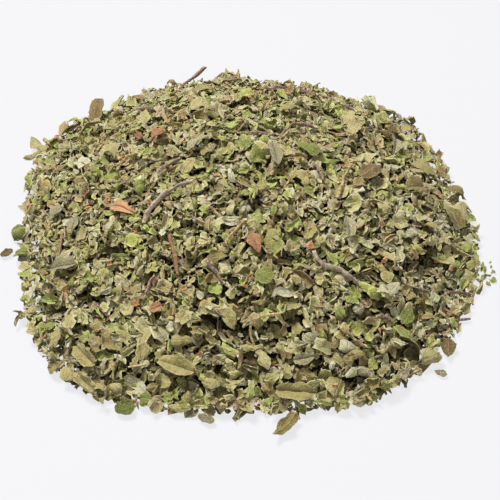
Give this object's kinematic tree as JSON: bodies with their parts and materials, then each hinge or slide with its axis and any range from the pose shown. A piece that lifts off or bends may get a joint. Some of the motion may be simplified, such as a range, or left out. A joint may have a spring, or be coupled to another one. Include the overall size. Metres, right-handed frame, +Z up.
{
  "type": "heap of crumbled dried herb leaves",
  "caption": "Low heap of crumbled dried herb: broken grey-green leaf flakes with whole leaves, bits of stem and rust-brown chips in its surface, lying on a flat underside.",
  "frame": {"origin": "middle of the heap's flat underside, on the surface that it lies on", "axes": "+Z up out of the heap, +X to the right and -Y towards the side seen from the front"},
  "size_m": [0.1201, 0.1231, 0.0277],
  "materials": {
    "grey_green_leaf": "matte, downy dried leaf",
    "sage_leaf": "matte, pale felted underside of a dried leaf",
    "fresh_green_leaf": "matte dried leaf that kept its green",
    "olive_brown_leaf": "matte browned leaf",
    "purple_stem": "dry fibrous stem with a dull sheen",
    "straw_stem": "dry straw-coloured stem",
    "rust_chip": "matte rust-brown bract and bark"
  },
  "bodies": {
    "root": {"leaf_heap": "grey_green_leaf", "stem_01": "purple_stem", "stem_02": "purple_stem", "stem_03": "purple_stem", "stem_04": "purple_stem", "stem_05": "purple_stem", "stem_06": "purple_stem", "stem_07": "purple_stem", "stem_08": "rust_chip", "stem_09": "purple_stem", "stem_10": "purple_stem", "stem_11": "straw_stem", "stem_12": "purple_stem", "stem_13": "straw_stem", "stem_14": "purple_stem", "stem_15": "rust_chip", "stem_16": "straw_stem", "stem_17": "straw_stem", "stem_18": "purple_stem", "whole_leaf_01": "olive_brown_leaf", "whole_leaf_02": "grey_green_leaf", "whole_leaf_03": "grey_green_leaf", "whole_leaf_04": "sage_leaf", "whole_leaf_05": "sage_leaf", "whole_leaf_06": "sage_leaf", "whole_leaf_07": "fresh_green_leaf", "whole_leaf_08": "sage_leaf", "whole_leaf_09": "grey_green_leaf", "whole_leaf_10": "grey_green_leaf", "whole_leaf_11": "olive_brown_leaf", "whole_leaf_12": "sage_leaf", "whole_leaf_13": "fresh_green_leaf", "whole_leaf_14": "fresh_green_leaf", "whole_leaf_15": "grey_green_leaf", "whole_leaf_16": "sage_leaf", "whole_leaf_17": "grey_green_leaf", "whole_leaf_18": "grey_green_leaf", "whole_leaf_19": "sage_leaf", "whole_leaf_20": "grey_green_leaf", "whole_leaf_21": "sage_leaf", "whole_leaf_22": "grey_green_leaf", "whole_leaf_23": "grey_green_leaf", "brown_chip_01": "rust_chip", "brown_chip_02": "rust_chip", "brown_chip_03": "rust_chip", "brown_chip_04": "rust_chip", "brown_chip_05": "rust_chip", "brown_chip_06": "rust_chip", "loose_leaf_01": "fresh_green_leaf", "loose_leaf_02": "sage_leaf", "loose_leaf_03": "grey_green_leaf", "loose_leaf_04": "olive_brown_leaf", "loose_leaf_05": "grey_green_leaf", "loose_leaf_06": "olive_brown_leaf", "loose_leaf_07": "sage_leaf"}
  },
  "joints": []
}
